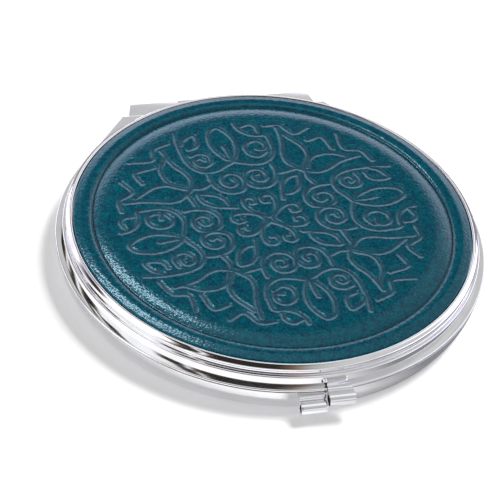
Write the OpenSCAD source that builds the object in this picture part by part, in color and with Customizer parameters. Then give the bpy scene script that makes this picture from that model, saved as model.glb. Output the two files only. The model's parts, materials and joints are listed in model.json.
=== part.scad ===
// Round compact mirror with a padded leather insert: pressed steel case, two glasses, box hinge and finger tabs.
// Millimetres. The origin is the centre of the flat bottom, +Z is up, the hinge is at +Y and the tabs at -Y.

/* [Case] */
// Diameter over the rim
case_d = 70; // [66:1:76]
// Height of the base from the table to the parting line
base_h = 4.75; // [4.6:0.05:5.5]
// Thickness of the pressed sheet
sheet_t = 0.45; // [0.4:0.05:0.5]
// Gap between base and lid when shut
parting_gap = 0.1; // [0.05:0.05:0.15]
// Width of the squared back that carries the hinge
back_w = 35.8; // [35:0.2:36.6]
// How far the squared back is cut in from the rim
back_cut = 1.4; // [1.3:0.05:1.5]
// How far the straight sides cut into the round where they leave it
side_in = 0.06; // [0.05:0.01:0.1]

/* [Base wall] */
// Distance from the rim down to the crease in the wall
crease_down = 1.5; // [1.3:0.05:1.6]
// How far the wall leans in from the rim to the crease
crease_in = 0.25; // [0.1:0.05:0.3]
// Distance from the crease down to where the wall turns under
turn_down = 1.3; // [1.1:0.05:1.4]
// How far the wall leans in from the rim to the turn
turn_in = 0.65; // [0.5:0.05:0.7]
// Radius of the bottom edge
foot_r = 0.8; // [0.7:0.05:0.9]
// How far the bottom edge lies in from the rim
foot_in = 1.4; // [1.3:0.05:1.5]

/* [Lid rim] */
// Height of the lid's band above the flange
band_h = 1.75; // [1.7:0.05:1.8]
// How far the band stands in from the flange edge
band_in = 0.85; // [0.8:0.05:0.9]
// Lean of the band over its height
band_lean = 0.2; // [0.1:0.05:0.2]
// Radius of the round shoulder on the band
shoulder_r = 0.25; // [0.15:0.05:0.25]
// Depth of the groove over the band
groove_in = 0.62; // [0.6:0.01:0.64]
// Radius of the small cove at the foot of the groove
cove_r = 0.12; // [0.08:0.01:0.15]
// Radius of the bead over the groove
bead_r = 0.42; // [0.4:0.01:0.44]
// How far the bead stands out of the groove
bead_out = 0.17; // [0.12:0.01:0.2]
// Height from the band to the middle of the bead
bead_up = 0.98; // [0.9:0.02:1]
// Height of the lip over the middle of the bead
lip_up = 0.77; // [0.75:0.01:0.8]
// Width of the lip's crest
lip_w = 0.5; // [0.45:0.01:0.5]
// Angle at which the bead runs into the lip
bead_turn = 50; // [40:5:60]
// Angle from which the lip's crest is round
lip_turn = 30; // [20:5:40]

/* [Insert] */
// Distance from the rim to the leather's edge
insert_in = 2.87; // [2.85:0.01:2.95]
// Gap round the insert
insert_gap = 0.35; // [0.3:0.05:0.4]
// Depth of the tray below the lip
tray_depth = 0.6; // [0.55:0.05:0.65]
// Thickness of the adhesive film under the board
film_t = 0.1; // [0.05:0.05:0.1]
// Thickness of the board that the leather is turned over
board_t = 0.3; // [0.25:0.05:0.35]
// Thickness of the leather
leather_t = 0.45; // [0.4:0.05:0.5]
// Height of the insert's border above the lip
border_up = 0.5; // [0.45:0.05:0.55]
// Width over which the border rounds down to the lip
border_round = 1.3; // [1.1:0.1:1.4]
// Height of the leather's middle above the lip
crown_up = 0.9; // [0.8:0.05:1]
// Distance from the leather's edge to the raised cushion
cushion_in = 3.03; // [2.8:0.01:4]
// Width over which the cushion rounds up to its flat top
cushion_round = 3.6; // [2.5:0.1:5]
// Width of the sunk ring between cushion and border
ring_w = 0.5; // [0.4:0.05:0.6]

/* [Glass] */
// Distance from the rim to the edge of both glasses
glass_in = 4; // [3.9:0.1:5]
// Thickness of the lid's flat glass
lid_glass_t = 1.3; // [1.1:0.1:1.4]
// Thickness of the base's glass at its edge
base_glass_t = 1.6; // [1.4:0.1:1.7]
// Dish of the magnifying glass in its middle
dish_depth = 0.7; // [0.3:0.1:0.8]
// Thickness of the foam under the base's glass
base_pad_t = 0.6; // [0.5:0.1:0.7]
// Thickness of the foam behind the lid's glass
lid_pad_t = 0.3; // [0.25:0.05:0.35]
// Width of glass that the frames cover
frame_lap = 1; // [0.8:0.1:1.5]
// Thickness of the frames' sheet
frame_t = 0.4; // [0.35:0.05:0.45]
// Drop of the base's frame below the parting line
frame_drop = 0.5; // [0.45:0.05:0.6]
// Gap round each glass, and round the lid's frame
glass_gap = 0.1; // [0.05:0.05:0.15]
// Gap between the base's frame and the wall round it
rim_gap = 0.2; // [0.15:0.05:0.25]

/* [Hinge] */
// Distance from the back face to the pin
pin_back = 1.95; // [1.93:0.01:1.98]
// Depth of the pin below the lid
pin_down = 1.65; // [1.63:0.01:1.67]
// Diameter of the hinge pin
pin_d = 1.4; // [1.3:0.05:1.5]
// Radial clearance of the pin in the lid's knuckle
pin_gap = 0.05; // [0.03:0.01:0.08]
// Radial clearance of the pin in the base's knuckles
pin_fit = 0.02; // [0.01:0.01:0.03]
// Thickness of the hinge's sheet
leaf_t = 0.4; // [0.35:0.05:0.4]
// Width of the lid's knuckle
knuckle_w = 14.4; // [12:0.2:16]
// Width of the hinge over its far edge
hinge_w = 31.4; // [30:0.2:31.6]
// Extra width of the hinge at its near edge
hinge_flare = 1.7; // [1.4:0.1:1.8]
// Side gap between two knuckles
knuckle_gap = 0.15; // [0.1:0.05:0.2]
// Reach of the knuckles behind the pin
knuckle_reach = 1.85; // [1.83:0.01:1.86]
// Reach of the lid's knuckle in front of the pin
knuckle_near = 1.5; // [1.4:0.05:1.5]
// Depth of the knuckles below the pin
knuckle_low = 1.2; // [1.18:0.01:1.21]
// Corner radius under the knuckles that stops the lid
stop_r = 0.7; // [0.7:0.01:0.75]
// Radius of the knuckles' other corners
corner_round = 0.3; // [0.25:0.05:0.35]
// Width of the small opening that the fold leaves beside the pin
fold_w = 0.8; // [0.6:0.05:0.85]
// Height of the plate that joins the base's knuckles
web_h = 1.6; // [1.4:0.1:2]
// Length of the lid's leaf under the flange
leaf_in = 0.9; // [0.7:0.05:0.9]

/* [Finger tabs] */
// Width of each finger tab
tab_w = 4.1; // [3.5:0.1:4.5]
// Gap between the two tabs, and between the tabs and the rim
tab_gap = 0.24; // [0.2:0.02:0.4]
// Outer diameter of the rolled ends
roll_d = 2.08; // [1.9:0.02:2.2]
// Thickness of the tabs' sheet
tab_t = 0.35; // [0.3:0.05:0.4]
// Height of the lid's roll above the base's roll
roll_step = 1.44; // [1.3:0.02:1.5]
// Width of the slit that the roll leaves open
roll_slit = 0.25; // [0.15:0.05:0.3]
// Width of the plate on the lid's band
plate_w = 3.04; // [3:0.02:4]
// Height of the plate on the lid's band
plate_h = 1.2; // [1:0.1:1.4]

/* [Catch] */
// Width of the sprung tongue
tongue_w = 8; // [6:0.5:8.5]
// Thickness of the tongue
tongue_t = 0.3; // [0.25:0.05:0.35]
// Clearance round the tongue in its slots
tongue_gap = 0.3; // [0.25:0.05:0.35]
// Thickness of the keeper in the lid
keeper_t = 0.3; // [0.25:0.05:0.35]
// Clearance of the tongue's nose past the keeper
nose_gap = 0.08; // [0.06:0.01:0.1]
// Radius of the tongue's nose
nose_r = 0.25; // [0.2:0.01:0.25]
// Length of the tongue's foot on the floor
foot_l = 1; // [0.8:0.1:1.1]

/* [Hidden] */
$fn = 120;
chrome = [0.82, 0.83, 0.85];
steel = [0.6, 0.61, 0.63];
foam = [0.85, 0.83, 0.78];
teal = [0.02, 0.36, 0.42];
silver = [0.75, 0.79, 0.82];
// One overrun for every cut, worked out from the sheet
cut = sheet_t;

// Plan of the case: a circle with two straight sides that run to the corners of the squared back
case_r = case_d / 2;
back_y = case_r - back_cut;
corner_x = back_w / 2;
corner_r = norm([corner_x, back_y]);
side_a = atan2(back_y, corner_x) - acos((case_r - side_in) / corner_r);
chord_x = sqrt(case_r * case_r - back_y * back_y);
side_run = back_y * cos(side_a) - chord_x / 2 * sin(side_a);
big = 2 * case_r;

// Heights, from the bottom up
crease_h = base_h - crease_down;
turn_h = crease_h - turn_down;
base_glass_z = sheet_t + base_pad_t;
base_lip_z = base_glass_z + base_glass_t;
base_frame_top = base_h - frame_drop;
lid_z = base_h + parting_gap;
leaf_z = lid_z - leaf_t;
notch_z = leaf_z - parting_gap;
flange_top = lid_z + sheet_t;
band_top = flange_top + band_h;
bead_z = band_top + bead_up;
lip_top = bead_z + lip_up;
tray_z = lip_top - tray_depth;
web_z = tray_z - sheet_t;
lid_glass_z = web_z - lid_pad_t - lid_glass_t;
board_z = tray_z + film_t;
board_top = board_z + board_t;
ring_z = board_top + leather_t;
border_z = lip_top + border_up;
crown_z = lip_top + crown_up;

// Radii, from the middle outwards
glass_r = case_r - glass_in;
hole_r = glass_r - frame_lap;
skirt_r = glass_r + glass_gap;
skirt_out_r = skirt_r + frame_t;
insert_r = case_r - insert_in;
board_r = insert_r - leather_t;
border_r = insert_r - border_round;
cushion_r = insert_r - cushion_in;
lip_r = insert_r + insert_gap;
lid_frame_r = lip_r;
flange_in_r = lid_frame_r + glass_gap;
base_frame_r = case_r - crease_in - sheet_t - rim_gap;
band_r = case_r - band_in;
wall_r = band_r - sheet_t;
top_r = band_r - band_lean;
groove_r = top_r - groove_in;
bead_x = groove_r + bead_out - bead_r;
bead_start = -acos((groove_r - bead_x) / bead_r);
lip_out_r = lip_r + lip_w;
dish_r = (hole_r * hole_r + dish_depth * dish_depth) / (2 * dish_depth);

// Foot of the base's wall
foot_lean = atan2(foot_in - turn_in, turn_h);
foot_x = case_r - foot_in - foot_r * cos(foot_lean);

// Hinge places
pin_r = pin_d / 2;
pin_y = back_y + pin_back;
pin_z = lid_z - pin_down;
leaf_w = knuckle_w / 2 + knuckle_gap;
base_frame_back = back_cut + crease_in + sheet_t + rim_gap;

// Tab places, with the height measured from the bottom and the distance outwards from the case's middle
roll_r = roll_d / 2;
roll_y = case_r + tab_gap / 2 + roll_r;
strip_y = roll_y - roll_r;
lid_roll_z = flange_top - roll_r;
base_roll_z = lid_roll_z - roll_step;
root_top = base_h - tab_gap;
plate_lean = band_lean * plate_h / (band_h - shoulder_r);
root_in = crease_in * (base_h - root_top) / (base_h - crease_h);

// Catch places
keeper_r = wall_r - keeper_t;
nose_x = keeper_r - nose_gap - nose_r;
nose_z = flange_top + nose_r;
tongue_in_r = nose_x - tongue_t;
catch_a = asin(tongue_w / 2 / nose_x);
slot_a = asin((tongue_w / 2 + 2 * tongue_gap) / nose_x);
notch_a = asin((tongue_w / 2 + tongue_gap) / nose_x);

// Points of an arc about c from angle a0 to a1
function arc(c, r, a0, a1, n) = [for (i = [0 : n]) let (a = a0 + (a1 - a0) * i / n) c + r * [cos(a), sin(a)]];

// Points of a quarter of an ellipse about c with half axes w and h
function bow(c, w, h, a0, a1, n) =
    [for (i = [0 : n]) let (a = a0 + (a1 - a0) * i / n) c + [w * cos(a), h * sin(a)]];

// Fills the case's plan with one outline of its wall: circle, straight sides and squared back.
// The outline is drawn in X (distance from the middle) and Y (height), from far behind the middle to case_r.
module plan_body() {
    intersection() {
        union() {
            rotate_extrude()
                front_half()
                    children();
            for (side = [0, 1])
                mirror([side, 0, 0])
                    rotate([90, 0, side_a])
                        translate([-side_in, 0, -side_run])
                            linear_extrude(side_run)
                                front_half()
                                    children();
        }
        translate([-case_r, -back_cut, 0])
            rotate([90, 0, 90])
                linear_extrude(case_d)
                    children();
    }
}

// The part of an outline in front of the middle
module front_half() {
    intersection() {
        children();
        translate([0, -big])
            square([big, 2 * big]);
    }
}

// Carries a section round the front of the case from angle a0 to a1, counted from the middle to the right
module front_sweep(a0, a1) {
    rotate([0, 0, a0 - 90])
        rotate_extrude(angle = a1 - a0)
            children();
}

// Stretches a section along X from x0 to x1; its X points to the back
module across(x0, x1) {
    translate([x0, 0, 0])
        rotate([90, 0, 90])
            linear_extrude(x1 - x0)
                children();
}

// The same with its X pointing out of the front
module across_front(x0, x1) {
    mirror([0, 1, 0])
        across(x0, x1)
            children();
}

// Pressed pan with a squared back, notched for the lid's hinge leaf
module base_shell() {
    color(chrome)
        difference() {
            plan_body()
                polygon(concat(
                    [[-big, 0]],
                    arc([foot_x, foot_r], foot_r, -90, -foot_lean, 8),
                    [[case_r - turn_in, turn_h], [case_r - crease_in, crease_h], [case_r, base_h], [-big, base_h]]
                ));
            plan_body()
                polygon(concat(
                    [[-big, sheet_t]],
                    arc([foot_x, foot_r], foot_r - sheet_t, -90, -foot_lean, 6),
                    [
                        [case_r - turn_in - sheet_t, turn_h],
                        [case_r - crease_in - sheet_t, crease_h],
                        [case_r - sheet_t + cut * crease_in / (base_h - crease_h), base_h + cut],
                        [-big, base_h + cut]
                    ]
                ));
            translate([-leaf_w, back_y - foot_in, notch_z])
                cube([2 * leaf_w, 2 * foot_in, base_h]);
        }
}

// Foam disc under the lower glass
module base_pad() {
    color(foam)
        translate([0, 0, sheet_t])
            cylinder(r = glass_r, h = base_pad_t);
}

// Magnifying glass: a disc with a shallow dish in its face
module base_mirror() {
    dish_a = asin(hole_r / dish_r);
    color(silver)
        rotate_extrude()
            polygon(concat(
                [[0, base_glass_z], [glass_r, base_glass_z], [glass_r, base_lip_z]],
                arc([0, base_lip_z + dish_r - dish_depth], dish_r, 270 + dish_a, 270, 12)
            ));
}

// Chromed ring with a skirt on the floor, a lip over the glass and a flange out to the wall
module base_mirror_frame() {
    color(chrome)
        difference() {
            rotate_extrude()
                polygon([
                    [skirt_r, sheet_t],
                    [skirt_out_r, sheet_t],
                    [skirt_out_r, base_frame_top - frame_t],
                    [base_frame_r, base_frame_top - frame_t],
                    [base_frame_r, base_frame_top],
                    [skirt_r, base_frame_top],
                    [skirt_r, base_lip_z + frame_t],
                    [hole_r, base_lip_z + frame_t],
                    [hole_r, base_lip_z],
                    [skirt_r, base_lip_z]
                ]);
            translate([-case_r, case_r - base_frame_back, 0])
                cube([case_d, case_r, base_h]);
            front_sweep(-notch_a, notch_a)
                translate([tongue_in_r - tongue_gap / 2, base_frame_top - frame_t - cut])
                    square([case_r, frame_t + 2 * cut]);
        }
}

// Section of a knuckle about the pin: near and far side, top and rounded corners
module knuckle_section(near, top, bore, near_round) {
    difference() {
        polygon(concat(
            arc([near_round - near, near_round - knuckle_low], near_round, 180, 270, 6),
            arc([knuckle_reach - stop_r, stop_r - knuckle_low], stop_r, -90, 0, 10),
            arc([knuckle_reach - corner_round, top - corner_round], corner_round, 0, 90, 6),
            [[-near, top]]
        ));
        polygon([
            [knuckle_reach - leaf_t, top - leaf_t],
            [knuckle_reach - leaf_t, top - leaf_t - fold_w],
            [knuckle_reach - leaf_t - fold_w, top - leaf_t]
        ]);
        circle(r = bore);
    }
}

// Folded leaf soldered on the base's squared back, with the two outer knuckles
module base_hinge_leaf() {
    far_x = hinge_w / 2;
    near_x = far_x + hinge_flare / 2;
    low = pin_z - knuckle_low;
    wall_low = back_y - turn_in + (turn_in - crease_in) * (low - turn_h) / (crease_h - turn_h);
    web_top = low + web_h;
    wall_top = back_y - crease_in + crease_in * (web_top - crease_h) / (base_h - crease_h);
    color(chrome)
        intersection() {
            union() {
                for (side = [0, 1])
                    mirror([side, 0, 0])
                        across(leaf_w, near_x)
                            translate([pin_y, pin_z])
                                knuckle_section(pin_back, base_h - pin_z, pin_r + pin_fit, corner_round);
                across(-near_x, near_x)
                    polygon([
                        [back_y, low],
                        [back_y, web_top],
                        [wall_top, web_top],
                        [back_y - crease_in, crease_h],
                        [wall_low, low]
                    ]);
            }
            linear_extrude(base_h)
                polygon([
                    [-near_x, back_y - case_r],
                    [near_x, back_y - case_r],
                    [near_x, back_y],
                    [far_x, pin_y + knuckle_reach],
                    [-far_x, pin_y + knuckle_reach],
                    [-near_x, back_y]
                ]);
        }
}

// Steel pin through all three knuckles
module hinge_pin() {
    color(steel)
        translate([-hinge_w / 2, pin_y, pin_z])
            rotate([0, 90, 0])
                cylinder(r = pin_r, h = hinge_w);
}

// Rolled finger tab of the base, left of the middle
module base_finger_tab() {
    a0 = asin(tab_gap / 2 / case_r);
    a1 = asin((tab_gap / 2 + tab_w) / case_r);
    color(chrome)
        mirror([1, 0, 0]) {
            front_sweep(a0, a1)
                polygon([
                    [case_r - crease_in, crease_h],
                    [strip_y + tab_t, crease_h],
                    [strip_y + tab_t, root_top - tab_t],
                    [case_r - root_in + tab_t, root_top],
                    [case_r - root_in, root_top]
                ]);
            across_front(tab_gap / 2, tab_gap / 2 + tab_w) {
                rolled_end(base_roll_z);
                polygon([
                    [strip_y, base_roll_z],
                    [strip_y + tab_t, base_roll_z],
                    [strip_y + tab_t, root_top - tab_t],
                    [strip_y, root_top - tab_t / 2]
                ]);
            }
        }
}

// Section of a rolled end: a ring with a slit behind its inner side
module rolled_end(roll_z) {
    difference() {
        translate([roll_y, roll_z])
            circle(r = roll_r);
        translate([roll_y, roll_z])
            circle(r = roll_r - tab_t);
        translate([strip_y + tab_t, roll_z])
            square([roll_slit, roll_d]);
    }
}

// Thin sprung tongue at the front: foot on the floor, nose outwards at the top
module catch_spring() {
    floor_x = foot_x - glass_gap / 2;
    color(steel)
        front_sweep(-catch_a, catch_a)
            polygon(concat(
                [
                    [floor_x - foot_l, sheet_t],
                    [floor_x, sheet_t],
                    [nose_x, sheet_t + tongue_t],
                    [nose_x, nose_z - nose_r]
                ],
                arc([nose_x, nose_z], nose_r, -90, 90, 10),
                [
                    [tongue_in_r, nose_z + nose_r],
                    [tongue_in_r, sheet_t + tongue_t],
                    [floor_x - foot_l, sheet_t + tongue_t]
                ]
            ));
}

// Pressed lid: flange with the case's plan, round band, groove, bead, lip and the tray under the leather
module lid_shell() {
    edge = sheet_t / 2;
    color(chrome)
        difference() {
            union() {
                rotate_extrude()
                    polygon(concat(
                        [
                            [wall_r, flange_top],
                            [wall_r - sheet_t, flange_top],
                            [wall_r - sheet_t, lid_z],
                            [band_r, lid_z],
                            [band_r, flange_top]
                        ],
                        arc([top_r - shoulder_r, band_top - shoulder_r], shoulder_r, 0, 90, 6),
                        arc([groove_r + cove_r, band_top + cove_r], cove_r, 270, 180, 4),
                        arc([bead_x, bead_z], bead_r, bead_start, bead_turn, 12),
                        [[(bead_x + bead_r * cos(bead_turn) + lip_out_r) / 2 - cove_r / 2, lip_top - lip_up / 3]],
                        arc([lip_r + lip_w / 2, lip_top - lip_w / 2], lip_w / 2, lip_turn, 180 - lip_turn, 8),
                        [
                            [lip_r, tray_z],
                            [0, tray_z],
                            [0, web_z],
                            [groove_r - sheet_t, web_z],
                            [groove_r - sheet_t, band_top - shoulder_r + edge],
                            [wall_r - band_lean - shoulder_r, band_top - sheet_t],
                            [wall_r - band_lean, band_top - shoulder_r - sheet_t]
                        ]
                    ));
                plan_body()
                    polygon(concat(
                        arc([case_r - edge, lid_z + edge], edge, -90, 90, 8),
                        [[-big, flange_top], [-big, lid_z]]
                    ));
            }
            translate([0, 0, lid_z - cut])
                cylinder(r = flange_in_r, h = sheet_t + cut);
            front_sweep(-slot_a, slot_a)
                translate([flange_in_r - cut, lid_z - cut])
                    square([wall_r - flange_in_r + cut, sheet_t + cut]);
        }
}

// Adhesive film between tray and board
module insert_adhesive() {
    color(foam)
        translate([0, 0, tray_z])
            cylinder(r = board_r, h = film_t);
}

// Stiff board that the leather is turned over
module insert_board() {
    color(foam)
        translate([0, 0, board_z])
            cylinder(r = board_r, h = board_t);
}

// Domed foam between board and leather
module insert_foam() {
    foam_r = cushion_r - leather_t;
    color(foam)
        rotate_extrude()
            polygon(concat(
                [[0, board_top]],
                bow([foam_r - cushion_round, board_top], cushion_round, crown_z - leather_t - board_top, 0, 90, 12),
                [[0, crown_z - leather_t]]
            ));
}

// Leather cover: turned edge, round border, sunk ring and cushion
module leather_cover() {
    foam_r = cushion_r - leather_t;
    rise_r = cushion_r + ring_w;
    color(teal)
        rotate_extrude()
            polygon(concat(
                [[board_r, board_z], [insert_r, board_z]],
                bow([border_r, board_top], border_round, border_z - board_top, 0, 90, 10),
                bow([border_r, ring_z], border_r - rise_r, border_z - ring_z, 100, 180, 6),
                bow([cushion_r - cushion_round, ring_z], cushion_round, crown_z - ring_z, 0, 90, 12),
                [[0, crown_z], [0, crown_z - leather_t]],
                bow([foam_r - cushion_round, board_top], cushion_round, crown_z - leather_t - board_top, 90, 0, 12),
                [[board_r, board_top]]
            ));
}

// Foam disc behind the lid's glass
module lid_pad() {
    color(foam)
        translate([0, 0, web_z - lid_pad_t])
            cylinder(r = glass_r, h = lid_pad_t);
}

// Flat glass of the lid
module lid_mirror() {
    color(silver)
        translate([0, 0, lid_glass_z])
            cylinder(r = glass_r, h = lid_glass_t);
}

// Chromed ring with a skirt under the web, a lip under the glass and a flange out to the lid's flange
module lid_mirror_frame() {
    color(chrome)
        rotate_extrude()
            polygon([
                [skirt_r, web_z],
                [skirt_r, lid_glass_z],
                [hole_r, lid_glass_z],
                [hole_r, lid_glass_z - frame_t],
                [skirt_r, lid_glass_z - frame_t],
                [skirt_r, lid_z],
                [lid_frame_r, lid_z],
                [lid_frame_r, lid_z + frame_t],
                [skirt_out_r, lid_z + frame_t],
                [skirt_out_r, web_z]
            ]);
}

// Folded leaf soldered under the lid's flange, with the middle knuckle
module lid_hinge_leaf() {
    color(chrome)
        across(-knuckle_w / 2, knuckle_w / 2) {
            translate([pin_y, pin_z])
                knuckle_section(knuckle_near, pin_down, pin_r + pin_gap, corner_round);
            translate([back_y - leaf_in, leaf_z])
                square([pin_back - knuckle_near + leaf_in + leaf_t, leaf_t]);
        }
}

// Finger tab of the lid, right of the middle: plate on the band, shelf over the flange and rolled end
module lid_finger_tab() {
    a0 = asin(tab_gap / 2 / band_r);
    a1 = asin((tab_gap / 2 + tab_w) / case_r);
    plate_a = asin((tab_gap / 2 + plate_w) / band_r);
    plate_top = flange_top + plate_h;
    color(chrome) {
        front_sweep(a0, plate_a)
            polygon([
                [band_r, flange_top],
                [band_r + tab_t, flange_top],
                [band_r - plate_lean + tab_t, plate_top - tab_t / 2],
                [band_r - plate_lean + tab_t / 2, plate_top],
                [band_r - plate_lean, plate_top]
            ]);
        front_sweep(a0, a1)
            translate([band_r, flange_top])
                square([band_in, tab_t]);
        across_front(tab_gap / 2, tab_gap / 2 + tab_w) {
            rolled_end(lid_roll_z);
            polygon(concat(
                [
                    [band_r, flange_top],
                    [strip_y, flange_top],
                    [strip_y, lid_roll_z],
                    [strip_y + tab_t, lid_roll_z]
                ],
                arc([strip_y, flange_top], tab_t, 0, 90, 6),
                [[band_r, flange_top + tab_t]]
            ));
        }
    }
}

// Small strip in the lid's slot that the tongue snaps past
module catch_keeper() {
    color(steel)
        front_sweep(-notch_a, notch_a)
            translate([keeper_r, lid_z])
                square([keeper_t, sheet_t]);
}

base_shell();
base_pad();
base_mirror();
base_mirror_frame();
base_hinge_leaf();
hinge_pin();
base_finger_tab();
catch_spring();
lid_shell();
insert_adhesive();
insert_board();
insert_foam();
leather_cover();
lid_pad();
lid_mirror();
lid_mirror_frame();
lid_hinge_leaf();
lid_finger_tab();
catch_keeper();
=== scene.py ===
import json
import math

import bmesh
import bpy
import numpy as np
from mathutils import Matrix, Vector, kdtree

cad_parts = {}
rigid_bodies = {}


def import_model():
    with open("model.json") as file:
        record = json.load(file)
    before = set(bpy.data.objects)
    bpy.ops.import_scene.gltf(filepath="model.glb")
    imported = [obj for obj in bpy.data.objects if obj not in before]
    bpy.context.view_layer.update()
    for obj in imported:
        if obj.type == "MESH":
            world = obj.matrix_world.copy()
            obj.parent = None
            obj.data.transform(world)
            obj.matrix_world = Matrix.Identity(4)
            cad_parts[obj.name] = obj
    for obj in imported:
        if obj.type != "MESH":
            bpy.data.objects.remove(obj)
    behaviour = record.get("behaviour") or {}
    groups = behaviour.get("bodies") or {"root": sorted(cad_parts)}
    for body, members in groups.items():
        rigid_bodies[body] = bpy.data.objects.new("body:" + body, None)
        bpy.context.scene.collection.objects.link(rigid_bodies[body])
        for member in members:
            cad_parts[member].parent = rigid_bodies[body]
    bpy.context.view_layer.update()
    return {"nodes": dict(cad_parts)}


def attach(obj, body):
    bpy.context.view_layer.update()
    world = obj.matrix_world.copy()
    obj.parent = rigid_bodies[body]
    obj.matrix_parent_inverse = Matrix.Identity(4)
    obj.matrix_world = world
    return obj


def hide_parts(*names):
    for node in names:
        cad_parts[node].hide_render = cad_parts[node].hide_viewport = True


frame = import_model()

MM = 0.001


# Camera
# A long lens looks down on the front of the case from the left, tilted a little to one side.
# Its place was fitted to the round edge of the leather.

CAMERA_PLACE = (-0.09783867, -0.28037932, 0.26579592)
CAMERA_TURN = (48.14494549, -5.48873369, -13.73219716)

camera_data = bpy.data.cameras.new("camera")
camera_data.lens = 174.9918
camera_data.sensor_width = 36
camera_data.clip_start = 0.01
camera_data.clip_end = 20
camera = bpy.data.objects.new("camera", camera_data)
camera.location = CAMERA_PLACE
camera.rotation_euler = [math.radians(a) for a in CAMERA_TURN]
bpy.context.scene.collection.objects.link(camera)
bpy.context.scene.camera = camera
bpy.context.scene.view_settings.view_transform = "Standard"


# Table and studio
# The case lies on a white table without an end, in a room whose bright and dark walls show in the
# chrome. Three soft lamps each light one thing: the table, the leather or the metal.

def finish_of(name, colour, roughness, metallic=0.0, specular=0.5):
    """New material with its shader's own sockets set; returns it with its node tree and its shader."""
    made = bpy.data.materials.new(name)
    made.use_nodes = True
    made.diffuse_color = (*colour, 1)
    skin = made.node_tree.nodes["Principled BSDF"]
    skin.inputs["Base Color"].default_value = (*colour, 1)
    skin.inputs["Roughness"].default_value = roughness
    skin.inputs["Metallic"].default_value = metallic
    skin.inputs["Specular IOR Level"].default_value = specular
    return made, made.node_tree, skin


def node_of(tree, kind, inputs, **settings):
    """New node with its own settings; each input is a number, a colour or another node's socket."""
    node = tree.nodes.new(kind)
    for name, value in settings.items():
        setattr(node, name, value)
    for name, value in inputs.items():
        socket = node.inputs[name]
        if isinstance(value, bpy.types.NodeSocket):
            tree.links.new(value, socket)
        elif socket.type == "RGBA":
            socket.default_value = (*value, 1)
        else:
            socket.default_value = value
    return node


def worked(tree, operation, *values):
    """Math node on one or two numbers or sockets."""
    return node_of(tree, "ShaderNodeMath", dict(enumerate(values)), operation=operation).outputs["Value"]


def spread(tree, value, low, high, to_low=0.0, to_high=1.0):
    """Map Range node from low..high to to_low..to_high; a socket may stand for either end."""
    inputs = {"Value": value, "From Min": low, "From Max": high, "To Min": to_low, "To Max": to_high}
    return node_of(tree, "ShaderNodeMapRange", inputs).outputs["Result"]


def graded(tree, value, stops, smooth="LINEAR"):
    """Colour ramp over value (0 to 1) with stops (place, colour or grey)."""
    node = node_of(tree, "ShaderNodeValToRGB", {"Fac": value})
    ramp = node.color_ramp
    ramp.interpolation = smooth
    while len(ramp.elements) < len(stops):
        ramp.elements.new(0.5)
    for element, (place, colour) in zip(ramp.elements, stops):
        element.position = place
        element.color = (*colour, 1) if isinstance(colour, tuple) else (colour, colour, colour, 1)
    return node.outputs["Color"]


def mixed(tree, factor, first, second, how="MIX"):
    """Colour mix; first and second are colours or sockets."""
    inputs = {"Factor": factor, "A": first, "B": second}
    return node_of(tree, "ShaderNodeMix", inputs, data_type="RGBA", blend_type=how).outputs["Result"]


def mixed_shader(tree, factor, first, second):
    return node_of(tree, "ShaderNodeMixShader", {0: factor, 1: first, 2: second}).outputs[0]


def object_place(tree):
    return tree.nodes.new("ShaderNodeTexCoord").outputs["Object"]


bpy.ops.object.select_all(action="DESELECT")
bpy.ops.mesh.primitive_grid_add(x_subdivisions=8, y_subdivisions=8, size=8, location=(0, 0, 0))
table = bpy.context.object
table.name = "table_top"
white_table, tree, paint = finish_of("white_table", (0.9, 0.9, 0.9), 0.9, specular=0.1)
seen = tree.nodes.new("ShaderNodeLightPath").outputs
lift = worked(tree, "MULTIPLY", worked(tree, "ADD", seen["Is Camera Ray"], seen["Is Glossy Ray"]), 0.27)
glow = node_of(tree, "ShaderNodeEmission", {"Color": (1, 1, 1), "Strength": lift}).outputs["Emission"]
lit = node_of(tree, "ShaderNodeAddShader", {0: paint.outputs["BSDF"], 1: glow}).outputs["Shader"]

# The photo was cut out on white, but its chrome mirrors a greyer table at the right and behind the case.
spot = node_of(tree, "ShaderNodeSeparateXYZ", {0: object_place(tree)}).outputs
at_right = spread(tree, spot["X"], -0.002, 0.02, 0, 0.92)
at_back = spread(tree, spot["Y"], 0.034, 0.04, 0, 0.85)
greyer = worked(tree, "MULTIPLY", worked(tree, "MAXIMUM", at_right, at_back), seen["Is Glossy Ray"])
grey = node_of(tree, "ShaderNodeEmission", {"Color": (0.2, 0.2, 0.215)}).outputs["Emission"]
tree.links.new(mixed_shader(tree, greyer, lit, grey), tree.nodes["Material Output"].inputs["Surface"])
table.data.materials.append(white_table)

room = bpy.data.worlds.new("room")
bpy.context.scene.world = room
room.use_nodes = True
tree = room.node_tree
tree.nodes.clear()
where = tree.nodes.new("ShaderNodeTexCoord").outputs["Generated"]
split = node_of(tree, "ShaderNodeSeparateXYZ", {0: where}).outputs
FULL_TURN = 2 * math.pi
angle = worked(tree, "ADD", worked(tree, "ARCTAN2", split["Y"], split["X"]), 2 * FULL_TURN)
turn = worked(tree, "DIVIDE", worked(tree, "MODULO", angle, FULL_TURN), FULL_TURN)
rise = worked(tree, "DIVIDE", worked(tree, "ARCSINE", split["Z"]), math.pi / 2)
DARK = (0.03, 0.026, 0.023)
BROWN = (0.2, 0.13, 0.09)
WHITE = 1.3
walls = [
    (0, 0.8), (40, 0.85), (50, 0.75), (57, 0.05), (86, 0.04), (88, DARK), (114, DARK), (117, BROWN),
    (119, WHITE), (122, WHITE), (125, BROWN), (128, DARK), (134, DARK), (136, WHITE), (139, WHITE),
    (142, BROWN), (145, DARK), (154, DARK), (158, BROWN), (161, WHITE), (198, WHITE), (202, BROWN),
    (206, DARK), (215, DARK), (218, WHITE), (221, BROWN), (224, DARK), (266, DARK), (276, BROWN),
    (288, 0.5), (305, 0.7),
]
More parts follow.
